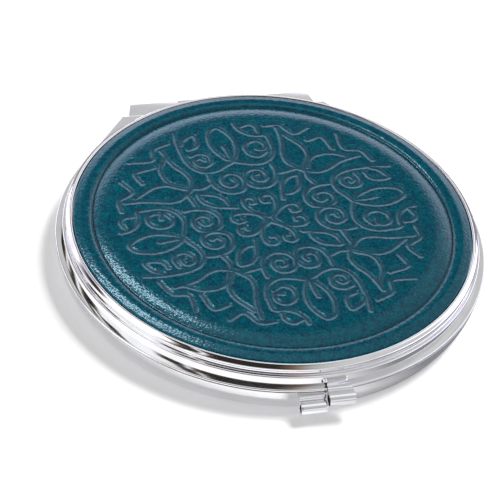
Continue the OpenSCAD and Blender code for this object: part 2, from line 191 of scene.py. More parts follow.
round_wall = graded(tree, turn, [(degrees / 360, colour) for degrees, colour in walls])
low = graded(tree, rise, [(0, 1), (0.21, 1), (0.33, 0), (1, 0)], "EASE")
high = graded(tree, rise, [(0, 0), (0.72, 0), (0.82, 1), (1, 1)], "EASE")
far_side = graded(tree, turn, [(0, 1), (0.33, 1), (0.39, 0.35), (0.86, 0.35), (0.92, 1)])
colour = mixed(tree, worked(tree, "MULTIPLY", low, far_side), round_wall, (1.95, 1.9, 2.25))
colour = mixed(tree, high, colour, (1.15, 1.15, 1.15))
mirrored = node_of(tree, "ShaderNodeBackground", {"Color": colour, "Strength": 1}).outputs[0]
soft = node_of(tree, "ShaderNodeBackground", {"Color": (1, 1, 1), "Strength": 0.28}).outputs[0]
white = node_of(tree, "ShaderNodeBackground", {"Color": (1, 1, 1), "Strength": 1}).outputs[0]
seen = tree.nodes.new("ShaderNodeLightPath").outputs
lit = mixed_shader(tree, seen["Is Glossy Ray"], soft, mirrored)
shown = mixed_shader(tree, seen["Is Camera Ray"], lit, white)
tree.links.new(shown, tree.nodes.new("ShaderNodeOutputWorld").inputs["Surface"])


def soft_light(name, lit, turn, rise, far, size, power, colour, shadow):
    """Soft lamp, at degrees round from +X and up from the table, far metres away. It lights only
    the objects that are linked to what this returns."""
    data = bpy.data.lights.new(name, "AREA")
    data.shape = "RECTANGLE"
    data.size, data.size_y = size
    data.energy = power
    data.color = colour
    data.use_shadow = shadow
    lamp = bpy.data.objects.new(name, data)
    t, r = math.radians(turn), math.radians(rise)
    lamp.location = Vector((math.cos(t) * math.cos(r), math.sin(t) * math.cos(r), math.sin(r))) * far
    lamp.rotation_euler = lamp.location.to_track_quat("Z", "Y").to_euler()
    bpy.context.scene.collection.objects.link(lamp)
    lamp.light_linking.receiver_collection = bpy.data.collections.new(lit)
    return lamp.light_linking.receiver_collection.objects


WARM, COOL, NEUTRAL = (1, 0.99, 0.98), (0.97, 0.98, 1), (1, 1, 1)
on_table = soft_light("table_light", "table_only", 10, 64, 1.0, (0.36, 0.36), 9.0, WARM, True)
on_leather = soft_light("edge_light", "leather_only", 131, 57, 0.5, (0.035, 0.3), 1.3, COOL, False)
on_metal = soft_light("wall_light", "chrome_only", 76, 44, 1.0, (0.68, 0.78), 0.98, NEUTRAL, False)
on_table.link(table)


# Chromed case, base
# Pan pressed from steel sheet, polished and chromed. Its wall leans in towards the table in
# three steps, and its back is squared off to carry the hinge.

RIM_R = 35.0
BACK_Y = 33.6
CORNER_X = 17.9
SHEET_T = 0.45
FLOOR_R = 20
FOOT_X, FOOT_R, FOOT_LEAN = 32.8533, 0.8, 21.04
LEAF_ROOM_X, LEAF_ROOM_Z = 7.35, 4.35
MERGE = 0.000002


def unselect():
    """Leaves edit mode and selects nothing."""
    if bpy.context.object and bpy.context.object.mode != "OBJECT":
        bpy.ops.object.mode_set(mode="OBJECT")
    bpy.ops.object.select_all(action="DESELECT")


def pick(piece, *others):
    """Selects a piece, with others where given, and makes it the active one."""
    unselect()
    for one in (piece, *others):
        one.select_set(True)
    bpy.context.view_layer.objects.active = piece


def rounded(points, fillets, steps):
    """Outline with the corners named in fillets (place in the list: radius) rounded."""
    made = []
    for i, point in enumerate(points):
        if i not in fillets:
            made.append(point)
            continue
        before, corner, after = (Vector(points[j]) for j in (i - 1, i, (i + 1) % len(points)))
        u = (before - corner).normalized()
        v = (after - corner).normalized()
        turn = math.acos(max(-1, min(1, u.dot(v))))
        room_left = min((before - corner).length, (after - corner).length) * 0.49
        run = min(fillets[i] / math.tan(turn / 2), room_left)
        for k in range(steps + 1):
            t = k / steps
            q = (corner + u * run) * (1 - t) ** 2 + corner * 2 * t * (1 - t) + (corner + v * run) * t ** 2
            made.append((q.x, q.y))
    return made


def arc(cx, cy, r, start, end, steps):
    """Points on a round stretch, from one angle in degrees to another."""
    angles = [math.radians(start + (end - start) * i / steps) for i in range(steps + 1)]
    return [(cx + r * math.cos(a), cy + r * math.sin(a)) for a in angles]


def section_ring(name, outline, closed=True, x=0.0):
    """Starts a piece: a ring of edges on a section at the front of the case (distance, height in mm)."""
    unselect()
    bpy.ops.mesh.primitive_circle_add(vertices=len(outline), radius=1)
    piece = bpy.context.object
    piece.name = piece.data.name = name
    for v, (r, z) in zip(piece.data.vertices, outline):
        v.co = (x * MM, -r * MM, z * MM)
    bpy.ops.object.mode_set(mode="EDIT")
    if not closed:
        bm = bmesh.from_edit_mesh(piece.data)
        bm.verts.ensure_lookup_table()
        first, last = bm.verts[0], bm.verts[-1]
        closing = [edge for edge in first.link_edges if edge.other_vert(first) == last]
        bmesh.ops.delete(bm, geom=closing, context="EDGES")
        bmesh.update_edit_mesh(piece.data)
    bpy.ops.mesh.select_all(action="SELECT")
    return piece


def finish_mesh(piece, angle=30):
    """Merges double points, turns the faces out and shades smooth all but edges sharper than angle."""
    bpy.ops.mesh.select_all(action="SELECT")
    bpy.ops.mesh.remove_doubles(threshold=MERGE)
    bpy.ops.mesh.normals_make_consistent(inside=False)
    pick(piece)
    bpy.ops.object.transform_apply(location=True, rotation=True, scale=True)
    bpy.ops.object.shade_smooth_by_angle(angle=math.radians(angle))
    return piece


def turned(name, outline, steps=288, angle=30):
    """A section spun once round the middle."""
    piece = section_ring(name, outline)
    bpy.ops.mesh.spin(steps=steps, angle=2 * math.pi, center=(0, 0, 0), axis=(0, 0, 1))
    return finish_mesh(piece, angle)


def swept_round_case(name, outline, closed=True):
    """A section carried round the case's plan: round front, straight sides and squared back."""
    corner = Vector((CORNER_X * MM, BACK_Y * MM, 0))
    side = math.atan2(corner.y, corner.x) - math.acos(RIM_R * MM / corner.length)
    piece = section_ring(name, outline, closed)
    bpy.ops.mesh.spin(steps=110, angle=-math.pi / 2 - side, center=(0, 0, 0), axis=(0, 0, 1))
    # The straight side runs past the corner and is cut off there by the mitre.
    past_corner = 0.012
    ahead = Vector((-math.sin(side), math.cos(side), 0))
    run = math.sqrt(corner.length ** 2 - (RIM_R * MM) ** 2)
    bpy.ops.mesh.extrude_edges_move(TRANSFORM_OT_translate={"value": ahead * (run + past_corner)})
    mitre = Vector((math.cos(side), math.sin(side) - 1, 0))
    bpy.ops.mesh.select_all(action="SELECT")
    bpy.ops.mesh.bisect(plane_co=corner, plane_no=mitre, clear_inner=True)
    # From the mitre the back is drawn straight to the middle plane, where the mirrored half joins.
    bpy.ops.mesh.extrude_edges_move(TRANSFORM_OT_translate={"value": (-0.0001, 0, 0)})
    bpy.ops.transform.resize(value=(0, 1, 1), center_override=(0, 0, 0))
    finish_mesh(piece)
    other = piece.modifiers.new("other_half", "MIRROR")
    other.merge_threshold = MERGE
    bpy.ops.object.modifier_apply(modifier=other.name)
    bpy.ops.object.mode_set(mode="EDIT")
    return finish_mesh(piece)


def cut_with(piece, cutter):
    """Cuts a solid out of a closed piece and removes the solid."""
    pick(piece)
    cut = piece.modifiers.new("cut", "BOOLEAN")
    cut.operation = "DIFFERENCE"
    cut.object = cutter
    cut.solver = "EXACT"
    bpy.ops.object.modifier_apply(modifier=cut.name)
    bpy.data.objects.remove(cutter)


def cut_away(piece, low, high):
    """Cuts a box (corners in mm) out of a closed piece."""
    unselect()
    middle = [(a + b) / 2 * MM for a, b in zip(low, high)]
    size = [(b - a) * MM for a, b in zip(low, high)]
    bpy.ops.mesh.primitive_cube_add(size=1, location=middle, scale=size)
    cut_with(piece, bpy.context.object)


outside = arc(FOOT_X, FOOT_R, FOOT_R, -90, -FOOT_LEAN, 10) + [(34.35, 1.95), (34.75, 3.25), (34.96, 4.71)]
outside = rounded(outside, {11: 1.2, 12: 1.2}, 6)
rim = [(34.99, 4.74), (34.97, 4.75), (34.60, 4.75), (34.57, 4.73)]
inside = [(34.30, 3.25), (33.90, 1.95)] + arc(FOOT_X, FOOT_R, FOOT_R - SHEET_T, -FOOT_LEAN, -90, 8)
wall = [(FLOOR_R, 0)] + outside + rim + inside + [(FLOOR_R, SHEET_T)]
base_case = swept_round_case("base_case", wall, closed=False)

# The middle of the floor is one flat face below and one above.
pick(base_case)
bpy.ops.object.mode_set(mode="EDIT")
bpy.ops.mesh.select_mode(type="EDGE")
bpy.ops.mesh.select_all(action="DESELECT")
bpy.ops.mesh.select_non_manifold()
bpy.ops.mesh.edge_face_add()
base_case = finish_mesh(base_case)
cut_away(base_case, (-LEAF_ROOM_X, 32.0, LEAF_ROOM_Z), (LEAF_ROOM_X, 36.0, 6.0))
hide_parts("base_shell")
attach(base_case, "base")


def shared_effect(name, inputs, outputs):
    """New node group with named number inputs and outputs, and a Vector input for its place."""
    tree = bpy.data.node_groups.new(name, "ShaderNodeTree")
    tree.interface.new_socket("Vector", in_out="INPUT", socket_type="NodeSocketVector")
    for socket in inputs:
        tree.interface.new_socket(socket, in_out="INPUT", socket_type="NodeSocketFloat")
    for socket in outputs:
        tree.interface.new_socket(socket, in_out="OUTPUT", socket_type="NodeSocketFloat")
    given = tree.nodes.new("NodeGroupInput").outputs
    return tree, given, tree.nodes.new("NodeGroupOutput").inputs


def noise(tree, place, scale, detail, roughness=0.5):
    inputs = {"Vector": place, "Scale": scale, "Detail": detail, "Roughness": roughness}
    return node_of(tree, "ShaderNodeTexNoise", inputs).outputs["Fac"]


def streaks(tree, place, stretch, degrees):
    """Noise stretched along a line that lies at degrees round the upright."""
    turned_by = (0, 0, math.radians(degrees))
    mapping = node_of(tree, "ShaderNodeMapping", {"Vector": place, "Scale": stretch, "Rotation": turned_by})
    return noise(tree, mapping.outputs["Vector"], 1, 2)


def raised(tree, height, distance, skin):
    """Bumps the shader by a height, distance in metres."""
    bump = node_of(tree, "ShaderNodeBump", {"Height": height, "Distance": distance})
    tree.links.new(bump.outputs["Normal"], skin.inputs["Normal"])


WEAR_GIVEN = ("Clean", "Rubbed", "Streaks")
metal_wear, given, gives = shared_effect("metal_wear", WEAR_GIVEN, ("Roughness", "Height", "Rub"))
rub = spread(metal_wear, noise(metal_wear, given["Vector"], 170, 6, 0.62), 0.42, 0.66)
hair = spread(metal_wear, streaks(metal_wear, given["Vector"], (240, 7000, 2600), 24), 0.6, 0.74)
hair = worked(metal_wear, "MULTIPLY", hair, given["Streaks"])
wave = noise(metal_wear, given["Vector"], 240, 1)
polish = spread(metal_wear, rub, 0, 1, given["Clean"], given["Rubbed"])
scored = worked(metal_wear, "ADD", polish, worked(metal_wear, "MULTIPLY", hair, 0.08))
relief = worked(metal_wear, "SUBTRACT", wave, worked(metal_wear, "MULTIPLY", hair, 0.3))
for value, name in ((scored, "Roughness"), (relief, "Height"), (rub, "Rub")):
    metal_wear.links.new(value, gives[name])


def worn_metal(name, colour, dull, clean, rub_and_highlight, streaked, waves):
    """Metal with rubbed spots, hairlines and the faint waves of pressed sheet."""
    made, tree, skin = finish_of(name, colour, clean, 1.0)
    inputs = {"Vector": object_place(tree), "Clean": clean, "Rubbed": rub_and_highlight, "Streaks": streaked}
    wear = node_of(tree, "ShaderNodeGroup", inputs, node_tree=metal_wear).outputs
    tree.links.new(wear["Roughness"], skin.inputs["Roughness"])
    tree.links.new(mixed(tree, wear["Rub"], colour, dull), skin.inputs["Base Color"])
    raised(tree, wear["Height"], waves, skin)
    return made


def plated(piece, metal):
    """Gives a piece its metal and lets the lamp for metal light it."""
    piece.data.materials.append(metal)
    on_metal.link(piece)


CHROME = (0.83, 0.835, 0.85)
chrome = worn_metal("chrome", CHROME, (0.78, 0.78, 0.79), 0.07, 0.11, 0.5, 0.000006)
plated(base_case, chrome)


# Lid
# The lid is pressed in one piece: tray, lip, bead and groove, a side band, and a flat flange
# with a rolled edge that has the same plan as the case. Inside the flange a slot takes the catch.

BAND_R = 34.15
FLANGE_Z, FLANGE_TOP, FLANGE_MID = 4.85, 5.3, 5.075
FLANGE_BORE_R = 33.9
SLOT_X, SLOT_R = 4.6, 33.32

lip = arc(33.08, 8.03, 0.42, -53.5, 50, 16) + [(33.105, 8.543)] + arc(32.73, 8.55, 0.25, 30, 150, 14)
band = (
    [(33.7, FLANGE_Z), (34.12, FLANGE_Z), (BAND_R, 4.88), (BAND_R, FLANGE_TOP)]
    + arc(33.7, 6.8, 0.25, 0, 90, 8)
    + arc(33.45, 7.17, 0.12, 270, 180, 8)
    + lip
    + [(32.48, 8.2), (0, 8.2), (0, 7.75), (32.88, 7.75)]
    + [(32.88, 7.0), (33.2, 6.6), (33.5, 6.35), (33.7, 6.0)]
)
lid_case = turned("lid_case", band)
rolled_edge = arc(34.775, FLANGE_MID, 0.225, -90, 90, 12)
flange = swept_round_case("lid_flange", [(31.0, FLANGE_Z)] + rolled_edge + [(31.0, FLANGE_TOP)])

# The swept flange is bored out inside the band, and a ring with a gap for the catch takes that place.
unselect()
bpy.ops.mesh.primitive_cylinder_add(
    vertices=288, radius=FLANGE_BORE_R * MM, depth=2 * MM, location=(0, 0, FLANGE_MID * MM)
)
cut_with(flange, bpy.context.object)
inner_edge = section_ring("lid_inner_edge", [
    (32.58, 4.87), (32.6, FLANGE_Z), (33.8, FLANGE_Z), (33.8, FLANGE_TOP), (32.6, FLANGE_TOP), (32.58, 5.28)
])
half_gap = math.asin(SLOT_X / SLOT_R)
bpy.ops.transform.rotate(value=half_gap, orient_axis="Z", center_override=(0, 0, 0))
bpy.ops.mesh.spin(steps=240, angle=2 * math.pi - 2 * half_gap, center=(0, 0, 0), axis=(0, 0, 1))
inner_edge = finish_mesh(inner_edge)
pick(lid_case, flange, inner_edge)
bpy.ops.object.join()
plated(lid_case, chrome)
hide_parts("lid_shell")
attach(lid_case, "lid")


# Hinge and catch
# Three square knuckles bent from sheet on one steel pin. The outer two belong to a leaf that is
# soldered on the squared back of the base, the middle one to a leaf under the lid's flange.
# The catch is a sprung tongue in the base and a small keeper plate in the lid.

BROKEN_EDGE = 0.06


def copied_node(name, node):
    """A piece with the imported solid's own shape, its loose triangles merged and its edges broken."""
    unselect()
    piece = frame["nodes"][node].copy()
    piece.data = piece.data.copy()
    piece.name = piece.data.name = name
    # The copy isn't a CAD node, so it drops the frame's own marks.
    for key in list(piece.keys()):
        if key.startswith("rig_"):
            del piece[key]
    piece.parent = None
    bpy.context.scene.collection.objects.link(piece)
    piece.data.materials.clear()
    pick(piece)
    bpy.ops.object.mode_set(mode="EDIT")
    bpy.ops.mesh.select_all(action="SELECT")
    bpy.ops.mesh.remove_doubles(threshold=MERGE)
    bpy.ops.mesh.dissolve_limited(angle_limit=math.radians(1))
    bpy.ops.object.mode_set(mode="OBJECT")
    edge = piece.modifiers.new("broken_edges", "BEVEL")
    edge.width = BROKEN_EDGE * MM
    edge.segments = 3
    edge.limit_method = "ANGLE"
    edge.angle_limit = math.radians(35)
    bpy.ops.object.modifier_apply(modifier=edge.name)
    bpy.ops.object.shade_smooth_by_angle(angle=math.radians(30))
    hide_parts(node)
    return piece


hinge_chrome = worn_metal("hinge_chrome", CHROME, (0.77, 0.77, 0.78), 0.13, 0.22, 1.0, 0.000004)
steel = worn_metal("plain_steel", (0.58, 0.585, 0.6), (0.47, 0.46, 0.45), 0.26, 0.42, 1.0, 0.000006)
for name, node, metal, slot, body in (
    ("hinge_leaf_base", "base_hinge_leaf", hinge_chrome, "chromed_case", "base"),
    ("hinge_leaf_lid", "lid_hinge_leaf", hinge_chrome, "chromed_case", "lid"),
    ("pin_of_hinge", "hinge_pin", steel, "plain_steel", "base"),
    ("spring_of_catch", "catch_spring", steel, "plain_steel", "base"),
    ("keeper_of_catch", "catch_keeper", steel, "plain_steel", "lid"),
):
    piece = copied_node(name, node)
    plated(piece, metal)
    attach(piece, body)


# Finger tabs
# Two short strips of sheet at the front. The lid's starts as a plate on the band, steps out over
# the flange and ends in a roll; the base's stands on the wall and ends in a roll lower down.

TAB_T, TAB_W, TAB_X0 = 0.35, 4.1, 0.12
PLATE_NARROWER = 0.2585
PLATE_FOOT_Z, PLATE_BLEND = 5.35, 0.35
ROLL_Y, ROLL_R = 36.16, 1.04
side_y = 35.12 + TAB_T / 2


def bent_strip(name, line, x0, wide_steps=16):
    """Strip of sheet: its middle line (distance, height in mm) carried across the front."""
    piece = section_ring(name, line, closed=False, x=x0)
    for _ in range(wide_steps):
        bpy.ops.mesh.extrude_edges_move(TRANSFORM_OT_translate={"value": (TAB_W / wide_steps * MM, 0, 0)})
    bpy.ops.object.mode_set(mode="OBJECT")
    return piece


def thicken(piece, edge):
    """Gives a strip its sheet thickness and rounds its edges by edge (mm)."""
    pick(piece)
    wall = piece.modifiers.new("sheet", "SOLIDIFY")
    wall.thickness = TAB_T * MM
    wall.offset = 0
    wall.use_even_offset = True
    bpy.ops.object.modifier_apply(modifier=wall.name)
    rim = piece.modifiers.new("edges", "BEVEL")
    rim.width = edge * MM
    rim.segments = 3
    rim.limit_method = "ANGLE"
    rim.angle_limit = math.radians(50)
    bpy.ops.object.modifier_apply(modifier=rim.name)
    bpy.ops.object.mode_set(mode="EDIT")
    return finish_mesh(piece, 40)


def roll_end(middle_z):
    """The rolled end of a tab, almost a full turn round a middle at the height given."""
    return arc(ROLL_Y, middle_z, ROLL_R - TAB_T / 2, 180, 505, 40)


base_line = [(side_y - 0.12, 4.5), (side_y - 0.03, 4.4), (side_y, 4.25), (side_y, 3.8), (side_y, 3.3)]
tab = bent_strip("tab_of_base", base_line + roll_end(2.82), -TAB_X0 - TAB_W)
tab = thicken(tab, 0.07)
plated(tab, chrome)
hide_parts("base_finger_tab")
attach(tab, "base")

plate_line = [(34.01 + TAB_T / 2, 6.45), (34.06 + TAB_T / 2, 6.1), (34.1 + TAB_T / 2, 5.8), (34.33, 5.62)]
step_line = arc(34.5, 5.645, 0.17, 180, 270, 5)[1:] + [(34.8, 5.475)] + arc(35.05, 5.23, 0.245, 90, 0, 6)
tab = bent_strip("tab_of_lid", plate_line + step_line + [(side_y, 4.8)] + roll_end(4.26), TAB_X0)

# Up on the band the strip narrows to one side and bends round with the band.
for v in tab.data.vertices:
    on_band = min(1, max(0, (v.co.z / MM - PLATE_FOOT_Z) / PLATE_BLEND))
    x = v.co.x / MM
    x -= on_band * (x - TAB_X0) * PLATE_NARROWER
    v.co.x = x * MM
    v.co.y += on_band * (BAND_R - math.sqrt(BAND_R ** 2 - x * x)) * MM
tab = thicken(tab, 0.06)
plated(tab, chrome)
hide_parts("lid_finger_tab")
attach(tab, "lid")


# Leather
# One disc of thin dyed leather, drawn over domed foam and turned under a board. A heated die has
# pressed a ring round the cushion and a four-fold pattern of leaves and scrolls into its top.

# Strokes of one quarter of the pattern, as drawn, in mm from the middle of the pattern.
QUARTER = {
    "heart_left": [
        (-0.1, 0.6), (-1.2, 1.3), (-2.5, 2.4), (-3.2, 3.7), (-3.2, 5), (-2.4, 5.6), (-1.5, 5.2),
        (-1.4, 4.3), (-2.1, 4.1),
    ],
    "heart_right": [
        (0.1, 0.6), (1.3, 1.6), (1.9, 3.1), (2, 4.8), (1.5, 5.8), (0.5, 5.9), (-0.2, 5.2), (0, 4.3),
        (0.8, 4.2),
    ],
    "inner_left": [
        (-7.4, 12), (-7.3, 10.2), (-6.5, 8.3), (-4.8, 7.2), (-2.9, 7.4), (-2, 8.8), (-2, 10.6),
        (-3.1, 11.8), (-4.6, 11.8), (-5.5, 10.7), (-5.3, 9.3), (-4.2, 8.7), (-3.3, 9.5), (-3.7, 10.4),
    ],
    "inner_right": [
        (3.7, 13.4), (3.9, 11.3), (3.3, 9.3), (1.6, 8), (-0.4, 8.2), (-1.6, 9.6), (-1.3, 11.6), (0, 12.5),
        (1.5, 12.2), (2.2, 10.8), (1.5, 9.6), (0.2, 9.8), (0, 10.8), (0.8, 11.3),
    ],
    "link_left": [(-10.9, 8.9), (-9.2, 8.9), (-7.4, 9.8)],
    "link_right": [(3.8, 11), (5.8, 11.4), (7.5, 11.8), (8.7, 11)],
    "bud": [
        (3.5, 4.6), (3.8, 6.5), (4.3, 8.4), (5.6, 9.8), (7.3, 10.1), (7.2, 8.5), (6.6, 7), (5.4, 6),
        (4.3, 5.8),
    ],
    "leaf": [
        (-2.5, 14.9), (-3.9, 16), (-5.1, 18.3), (-5.4, 20.6), (-4.8, 23), (-3.4, 23.8), (-2.2, 22.6),
        (-1.3, 20.6), (-1.2, 18.5), (-1.7, 16.5), (-2.5, 14.9),
    ],
    "leaf_vein": [(-2.8, 15.3), (-2.9, 17.1), (-3.2, 18.8)],
    "stem_left": [
        (-2.5, 14.8), (-4, 14), (-5.6, 13), (-7.6, 12.7), (-9.3, 13.7), (-10.3, 15.6), (-10.7, 18.1),
        (-10.8, 20.8), (-10.6, 23.1),
    ],
    "curl_left": [
        (-9.3, 17), (-7.7, 17.5), (-6.3, 16.8), (-6.2, 15.2), (-7.3, 14.2), (-8.5, 14.6), (-8.8, 15.7),
        (-7.9, 16.3), (-7.2, 15.7),
    ],
    "seed_left": [(-10.4, 19.9), (-9.7, 21.2), (-7.8, 22.3), (-7.4, 20.8), (-7.9, 19.3), (-9.3, 18.7)],
    "stem_right": [
        (-2, 14.7), (-0.2, 14.1), (1.9, 13.9), (3.8, 14.9), (4.8, 16.9), (4.8, 19), (4.5, 20.8),
        (2.7, 21.1), (1.3, 21.7), (0.2, 23), (-0.2, 24.5),
    ],
    "curl_right": [
        (3.5, 16.6), (1.9, 15.7), (0.5, 16.6), (0.3, 18.3), (1.3, 19.5), (2.8, 19.6), (3.7, 18.5),
        (3.3, 17.3), (2.2, 17.5),
    ],
    "seed_right": [(0.5, 23.5), (2.2, 24.1), (3.3, 23.2), (3.4, 21.8)],
    "cup": [
        (6.8, 22.5), (6.9, 20.4), (6.7, 18.1), (6.2, 15.8), (6.3, 13.8), (7.4, 12.3), (9.1, 11.1),
        (11, 10.6), (12.9, 11.2), (15, 12.6), (16.9, 13.3), (18.8, 13.8),
    ],
    "petal_left": [(7.6, 20.6), (8.8, 19), (10, 17.1), (10.3, 15), (9.5, 13.1), (8.7, 11.5)],
    "petal_right": [(9.4, 11.7), (10.5, 14), (12.3, 14.9), (14.6, 14.9), (17.3, 13.5)],
    "point_in": [(11.2, 18.7), (13.8, 19.3), (14.9, 16)],
    "point_out": [(4.8, 23.4), (7.4, 23.3), (9.3, 20.8), (11.9, 22)],
    "point_far": [(16.7, 19.7), (16.8, 15.9), (19.4, 15.1), (20.8, 12.3)],
}
PATTERN_MIDDLE = (-0.76, -0.28)
PATTERN_R = 26.5
GROOVE_W, GROOVE_DEEP, GROOVE_TIP = 0.52, 0.17, 0.08
SWELL_H, SWELL_AT, SWELL_W = 0.025, 0.8, 0.25
# Place and width of the painted highlight beside each stroke.
HIGHLIGHT_AT, HIGHLIGHT_W = 0.26, 0.13
DISC_R, DISC_CELLS = 25.6, 440
TOP_Z, FLAT_R, CUSHION_R, SHOULDER_R = 9.7, 25.3, 29.1, 8.23
# The last two numbers here place and size the painted shade in the pressed ring.
RING_R, RING_Z, RING_SHADE_R, RING_SHADE_W = 29.35, 8.74, 29.2, 0.2
BORDER_W, BORDER_RISE = 1.48, 0.53
CROWN = 0.03
UNTOUCHED = 9.0
LEATHER_MERGE = 0.000001
# Direction, round from +X, from each stroke to the side on which a highlight is painted.
LIT_SIDE_TURN = math.radians(235)


def along(points, step=0.1):
    """Points at even steps on a smooth line through the given ones."""
    p = [Vector(q) for q in points]
    p = [2 * p[0] - p[1]] + p + [2 * p[-1] - p[-2]]
    made = []
    for a, b, c, d in zip(p, p[1:], p[2:], p[3:]):
        n = max(2, round((c - b).length / step))
        for k in range(n):
            t = k / n
            bend = (2 * a - 5 * b + 4 * c - d) * t * t + (3 * b - a - 3 * c + d) * t ** 3
            made.append(0.5 * (2 * b + (c - a) * t + bend))
    return made + [p[-2]]


def points_of(mesh):
    """The places of a mesh's vertices as rows of an array."""
    flat = np.empty(len(mesh.vertices) * 3)
    mesh.vertices.foreach_get("co", flat)
    return flat.reshape(-1, 3)


# A grid bent into a disc makes the middle, and rings drawn out from its edge the rest. A ring with
# no height of its own (None) is part of the top, whose heights follow further down.
unselect()
bpy.ops.mesh.primitive_grid_add(x_subdivisions=DISC_CELLS, y_subdivisions=DISC_CELLS, size=2)
cover = bpy.context.object
cover.name = cover.data.name = "leather_disc"
co = points_of(cover.data)
x, y = co[:, 0].copy(), co[:, 1].copy()
co[:, 0] = x * np.sqrt(1 - y * y / 2) * DISC_R * MM
co[:, 1] = y * np.sqrt(1 - x * x / 2) * DISC_R * MM
cover.data.vertices.foreach_set("co", co.ravel())

rings = [(DISC_R + 0.16 * i, None) for i in range(1, 22)]
rings += [(CUSHION_R + 0.14 * i, None) for i in range(0, 13)]
border = [
    (30.83, 9.27), (31.05, 9.225), (31.3, 9.15), (31.55, 9.06), (31.8, 8.975), (32.02, 8.9), (32.2, 8.83),
    (32.33, 8.74), (32.38, 8.62),
]
under = [
    (32.13, 8.45), (32.08, 8.33), (31.9, 8.3), (31.68, 8.32), (31.68, 8.6), (28.65, 8.6), (28.4, 8.85),
    (27.6, 9.05), (26.5, 9.18), (25.05, 9.25), (15, 9.25), (5, 9.25), (0.02, 9.25),
]
bpy.ops.object.mode_set(mode="EDIT")
bpy.ops.mesh.select_mode(type="VERT")
bpy.ops.mesh.select_all(action="DESELECT")
bpy.ops.mesh.select_non_manifold()
r_now = DISC_R
z_now = 0.0
for r, z in rings + border + under:
    bpy.ops.mesh.extrude_edges_move(TRANSFORM_OT_translate={"value": (0, 0, 0)})
    bpy.ops.transform.resize(value=(r / r_now, r / r_now, 1), center_override=(0, 0, 0))
    if z is not None:
        bpy.ops.transform.translate(value=(0, 0, (z - z_now) * MM))
        z_now = z
    r_now = r
bpy.ops.object.mode_set(mode="OBJECT")

# Heights of the top: the dome with its shoulder, the pressed ring and the rounded border.
co = points_of(cover.data)
n_top = (DISC_CELLS + 1) ** 2 + 4 * DISC_CELLS * len(rings)
is_top = np.arange(len(co)) < n_top
r = np.hypot(co[:, 0], co[:, 1]) / MM
shoulder = np.clip(r - FLAT_R, 0, CUSHION_R - FLAT_R)
dome = TOP_Z - CROWN * (r / CUSHION_R) ** 2 - (SHOULDER_R - np.sqrt(SHOULDER_R ** 2 - shoulder ** 2))
out = np.clip((r - RING_R) / BORDER_W, 0, 1)
border_z = RING_Z + BORDER_RISE * np.sqrt(np.maximum(0, 1 - (1 - out) ** 2))
top = np.where(r < CUSHION_R, dome, np.where(r < RING_R, RING_Z, border_z))

# near is each point's distance to the closest stroke; the second array is above 0 on the side of the stroke
# that gets a painted highlight.
samples = [q for line in QUARTER.values() for q in along(line)]
strokes = kdtree.KDTree(4 * len(samples))
for k in range(4):
    c, s = math.cos(k * math.pi / 2), math.sin(k * math.pi / 2)
    for i, q in enumerate(samples):
        strokes.insert((c * q.x - s * q.y, s * q.x + c * q.y, 0), i)
strokes.balance()
toward_lit_x, toward_lit_y = math.cos(LIT_SIDE_TURN), math.sin(LIT_SIDE_TURN)
near = np.full(len(co), UNTOUCHED)
lit_side = np.zeros(len(co))
for i in np.nonzero(r[:n_top] < PATTERN_R)[0]:
    px, py = co[i, 0] / MM - PATTERN_MIDDLE[0], co[i, 1] / MM - PATTERN_MIDDLE[1]
    closest, _, distance = strokes.find((px, py, 0))
    near[i] = distance
    lit_side[i] = ((px - closest.x) * toward_lit_x + (py - closest.y) * toward_lit_y) / max(distance, 0.05)
groove = np.maximum(0, 1 - (np.sqrt(near ** 2 + GROOVE_TIP ** 2) - GROOVE_TIP) / GROOVE_W)
swelling = SWELL_H * np.exp(-((near - SWELL_AT) / SWELL_W) ** 2)
co[:, 2] = np.where(is_top, (top - GROOVE_DEEP * groove + swelling) * MM, co[:, 2])
cover.data.vertices.foreach_set("co", co.ravel())
# A painted highlight beside each stroke, on one side only.
painted_highlight = np.exp(-((near - HIGHLIGHT_AT) / HIGHLIGHT_W) ** 2) * np.clip((lit_side + 0.2) / 0.9, 0, 1)
# Painted shade in the pressed ring.
fold = np.exp(-((r - RING_SHADE_R) / RING_SHADE_W) ** 2) * is_top
for name, values in (("groove", groove), ("painted_highlight", painted_highlight), ("fold", fold)):
    layer = cover.data.attributes.new(name, "FLOAT", "POINT")
    layer.data.foreach_set("value", values.astype(np.float32))
pick(cover)
bpy.ops.object.mode_set(mode="EDIT")
bpy.ops.mesh.select_all(action="SELECT")
bpy.ops.mesh.remove_doubles(threshold=LEATHER_MERGE)
bpy.ops.mesh.normals_make_consistent(inside=False)
bpy.ops.object.mode_set(mode="OBJECT")
bpy.ops.object.shade_smooth_by_angle(angle=math.radians(60))

leather, tree, skin = finish_of("leather", (0, 0.14, 0.194), 0.19, specular=0.36)
skin.inputs["Sheen Weight"].default_value = 0.5
skin.inputs["Sheen Roughness"].default_value = 0.2
skin.inputs["Sheen Tint"].default_value = (0.62, 0.78, 1, 1)
skin.inputs["Specular Tint"].default_value = (0.55, 0.85, 1, 1)
place = object_place(tree)
pressed_in, highlight_line, fold_line = (
    node_of(tree, "ShaderNodeAttribute", {}, attribute_name=name).outputs["Fac"]
    for name in ("groove", "painted_highlight", "fold")
)
cloud = noise(tree, place, 1000, 5)
fine = noise(tree, place, 5200, 3)
pebble_inputs = {"Vector": place, "Scale": 2300, "Smoothness": 0.6}
pebble = node_of(tree, "ShaderNodeTexVoronoi", pebble_inputs, feature="SMOOTH_F1").outputs["Distance"]
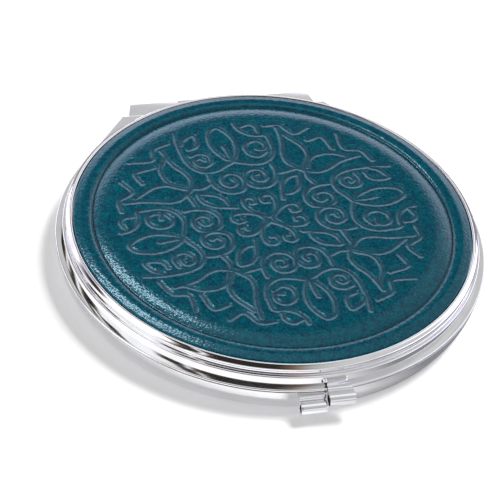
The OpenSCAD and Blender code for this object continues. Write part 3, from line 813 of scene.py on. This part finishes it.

# Dye; creases between the pebbles, darker partly from dye and partly as painted shade; pale specks; painted
# shade in the grooves; a painted highlight on one side of each stroke; painted shade in the pressed ring.
colour = graded(tree, cloud, [(0.38, (0.003, 0.088, 0.146)), (0.62, (0, 0.14, 0.194))])
# Creases between the pebbles, darker partly from dye and partly as painted shade.
colour = mixed(tree, spread(tree, pebble, 0.28, 0.68), colour, (0.6, 0.65, 0.7), "MULTIPLY")
colour = mixed(tree, spread(tree, fine, 0.56, 0.72), colour, (0.03, 0.22, 0.27))
# Painted shade in the grooves.
colour = mixed(tree, spread(tree, pressed_in, 0, 0.35), colour, (0.45, 0.66, 0.7), "MULTIPLY")
# Painted highlight on one side of each stroke, stronger in random patches.
rub_and_highlight = worked(tree, "MULTIPLY", highlight_line, spread(tree, cloud, 0.36, 0.52, 0.35, 1))
colour = mixed(tree, rub_and_highlight, colour, (0.1, 0.235, 0.325))
# Painted shade in the pressed ring.
colour = mixed(tree, fold_line, colour, (0.3, 0.3, 0.32), "MULTIPLY")
tree.links.new(colour, skin.inputs["Base Color"])
tree.links.new(spread(tree, pressed_in, 0, 1, 0.19, 0.48), skin.inputs["Roughness"])
grain = worked(tree, "SUBTRACT", worked(tree, "MULTIPLY", fine, 0.15), pebble)
raised(tree, worked(tree, "MULTIPLY", grain, spread(tree, pressed_in, 0, 1, 1, 0.35)), 0.000034, skin)
cover.data.materials.append(leather)
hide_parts("leather_cover")
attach(cover, "lid")
on_leather.link(cover)


# Inside of the cushion
# Under the leather lie a domed pad of soft foam and a stiff pressed board that the leather is
# turned over; a film of adhesive holds the board in the lid's tray.

mottle, given, gives = shared_effect("mottle", ("Patches", "Fine"), ("Stain", "Grain", "Pores"))
stain = spread(mottle, noise(mottle, given["Vector"], given["Patches"], 5), 0.3, 0.7)
grain = noise(mottle, given["Vector"], given["Fine"], 3)
pores = node_of(mottle, "ShaderNodeTexVoronoi", {"Vector": given["Vector"], "Scale": given["Fine"]})
for value, name in ((stain, "Stain"), (grain, "Grain"), (pores.outputs["Distance"], "Pores")):
    mottle.links.new(value, gives[name])


def plain_stuff(name, light, dark, roughness, patches, fine, relief, height="Grain"):
    """Matt stuff with stains between two colours, and pores or grain in relief."""
    made, tree, skin = finish_of(name, light, roughness, specular=0.3)
    inputs = {"Vector": object_place(tree), "Patches": patches, "Fine": fine}
    effect = node_of(tree, "ShaderNodeGroup", inputs, node_tree=mottle).outputs
    stained = mixed(tree, effect["Stain"], light, dark)
    freckled = spread(tree, effect["Grain"], 0.35, 0.7, 0.0, 0.5)
    uneven = spread(tree, effect["Grain"], 0.3, 0.7, roughness - 0.1, roughness + 0.1)
    tree.links.new(mixed(tree, freckled, stained, dark, "MULTIPLY"), skin.inputs["Base Color"])
    tree.links.new(uneven, skin.inputs["Roughness"])
    raised(tree, effect[height], relief, skin)
    return made


foam = plain_stuff("foam", (0.85, 0.83, 0.78), (0.76, 0.71, 0.6), 0.88, 90, 2600, 0.00008, "Pores")
board = plain_stuff("pressed_board", (0.6, 0.55, 0.45), (0.42, 0.37, 0.28), 0.82, 140, 3400, 0.00003)
adhesive = plain_stuff("adhesive_film", (0.8, 0.78, 0.65), (0.68, 0.62, 0.42), 0.45, 120, 900, 0.00004)


def foam_disc(name, node, body, outline):
    """Soft disc with rounded edges; its faces lie on their neighbours."""
    disc = turned(name, outline, steps=120, angle=60)
    disc.data.materials.append(foam)
    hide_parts(node)
    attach(disc, body)


foam_bottom = [(r, 8.61) for r in (0, 10, 20, 28.4)]
foam_top = [
    (28.6, 8.63), (28.5, 8.82), (28.1, 9.0), (27.4, 9.12), (26.4, 9.19), (25.0, 9.22), (20, 9.235),
    (10, 9.24), (0, 9.24),
]
foam_disc("cushion_foam", "insert_foam", "lid", foam_bottom + foam_top)
for node, material in (("insert_board", board), ("insert_adhesive", adhesive)):
    frame["nodes"][node].data.materials.clear()
    frame["nodes"][node].data.materials.append(material)


# Mirrors
# Two round glasses silvered on the back, seen when the case is open. The base's is ground to a
# shallow dish that magnifies, the lid's is flat. Each lies on a thin disc of foam.

PAD_R, PAD_SOFT = 30.7, 0.07
GLASS_R, GLASS_EDGE = 31, 0.15
DISH_R, DISH_DEPTH = 30, 0.7
BASE_GLASS_Z, BASE_GLASS_TOP = 1.05, 2.65
LID_GLASS_Z, LID_GLASS_TOP = 6.15, 7.45


def pad_outline(z0, z1):
    """Section of a foam pad from z0 to z1, with a soft bulging edge."""
    edge = [(30.95, z0 + PAD_SOFT), (30.98, (z0 + z1) / 2), (30.95, z1 - PAD_SOFT)]
    return [(0, z0), (15, z0), (PAD_R, z0)] + edge + [(PAD_R, z1), (15, z1), (0, z1)]


foam_disc("pad_under_base_mirror", "base_pad", "base", pad_outline(0.46, 1.04))
foam_disc("pad_behind_lid_mirror", "lid_pad", "lid", pad_outline(7.46, 7.74))

silvered, tree, skin = finish_of("silvered_glass", (0.88, 0.91, 0.92), 0.02, 1.0)
place = object_place(tree)
breath = spread(tree, noise(tree, place, 70, 4, 0.55), 0.5, 0.75)
haze = worked(tree, "MULTIPLY", breath, spread(tree, streaks(tree, place, (60, 1600, 60), 38), 0.4, 0.7))
tree.links.new(spread(tree, haze, 0, 1, 0.015, 0.13), skin.inputs["Roughness"])
tree.links.new(mixed(tree, haze, (0.88, 0.91, 0.92), (0.8, 0.83, 0.84)), skin.inputs["Base Color"])
glass_edge, tree, skin = finish_of("ground_glass_edge", (0.3, 0.5, 0.44), 0.35)
chips = noise(tree, object_place(tree), 1500, 4)
tree.links.new(mixed(tree, chips, (0.22, 0.42, 0.37), (0.5, 0.66, 0.6)), skin.inputs["Base Color"])
raised(tree, chips, 0.00002, skin)
backing = plain_stuff("mirror_backing", (0.3, 0.29, 0.28), (0.22, 0.2, 0.18), 0.6, 150, 2400, 0.00001)


def glass_outline(z0, z1):
    """Section of a glass disc from z0 to z1 with its edge ground off, up to the rim of its upper face."""
    shy = GLASS_R - GLASS_EDGE
    return [(0, z0), (shy, z0), (GLASS_R, z0 + GLASS_EDGE), (GLASS_R, z1 - GLASS_EDGE), (shy, z1)]


def mirror_disc(name, node, body, outline, face_up):
    """Glass disc: silvered face, ground edge and painted back."""
    disc = turned(name, outline, steps=192)
    for material in (silvered, glass_edge, backing):
        disc.data.materials.append(material)
    for face in disc.data.polygons:
        up = face.normal.z if face_up else -face.normal.z
        face.material_index = 0 if up > 0.8 else 2 if up < -0.8 else 1
    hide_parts(node)
    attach(disc, body)


ball_r = (DISH_R ** 2 + DISH_DEPTH ** 2) / (2 * DISH_DEPTH)
dish_z = BASE_GLASS_TOP - DISH_DEPTH + ball_r
dish = [(r, dish_z - math.sqrt(ball_r ** 2 - r * r)) for r in range(DISH_R, -1, -3)]
dished = glass_outline(BASE_GLASS_Z, BASE_GLASS_TOP) + dish
flat = glass_outline(LID_GLASS_Z, LID_GLASS_TOP) + [(0, LID_GLASS_TOP)]
mirror_disc("magnifying_mirror", "base_mirror", "base", dished, True)
mirror_disc("flat_mirror", "lid_mirror", "lid", flat, False)


# Frames of the mirrors
# A pressed and chromed ring holds each glass: a skirt round it, a lip over its edge and a flange
# that closes the gap to the wall. The base's is cut off at the hinge and notched for the catch.

FRAME_BACK_Y = 32.7
NOTCH_X, NOTCH_Y, NOTCH_Z = 4.3, 32.45, 3.7
OUTSIDE, ABOVE = 36, 5

base_section = [
    (31.1, 0.45), (31.5, 0.45), (31.5, 3.85), (34.1, 3.85), (34.1, 4.25), (31.1, 4.25), (31.1, 3.05),
    (30, 3.05), (30, 2.66), (31.1, 2.66),
]
base_fillets = {2: 0.1, 3: 0.18, 4: 0.18, 5: 0.3, 6: 0.2, 7: 0.18, 8: 0.15}
base_frame = turned("frame_of_base_mirror", rounded(base_section, base_fillets, 4))
cut_away(base_frame, (-OUTSIDE, FRAME_BACK_Y, 0), (OUTSIDE, OUTSIDE, ABOVE))
cut_away(base_frame, (-NOTCH_X, -OUTSIDE, NOTCH_Z), (NOTCH_X, -NOTCH_Y, ABOVE))
plated(base_frame, chrome)
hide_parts("base_mirror_frame")
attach(base_frame, "base")

lid_section = [
    (31.1, 7.75), (31.1, 6.14), (30, 6.14), (30, 5.75), (31.1, 5.75), (31.1, 4.85), (32.48, 4.85),
    (32.48, 5.25), (31.5, 5.25), (31.5, 7.75),
]
lid_fillets = {2: 0.15, 3: 0.18, 4: 0.2, 5: 0.3, 6: 0.15, 7: 0.15, 8: 0.1}
lid_frame = turned("frame_of_lid_mirror", rounded(lid_section, lid_fillets, 4))
plated(lid_frame, chrome)
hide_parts("lid_mirror_frame")
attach(lid_frame, "lid")
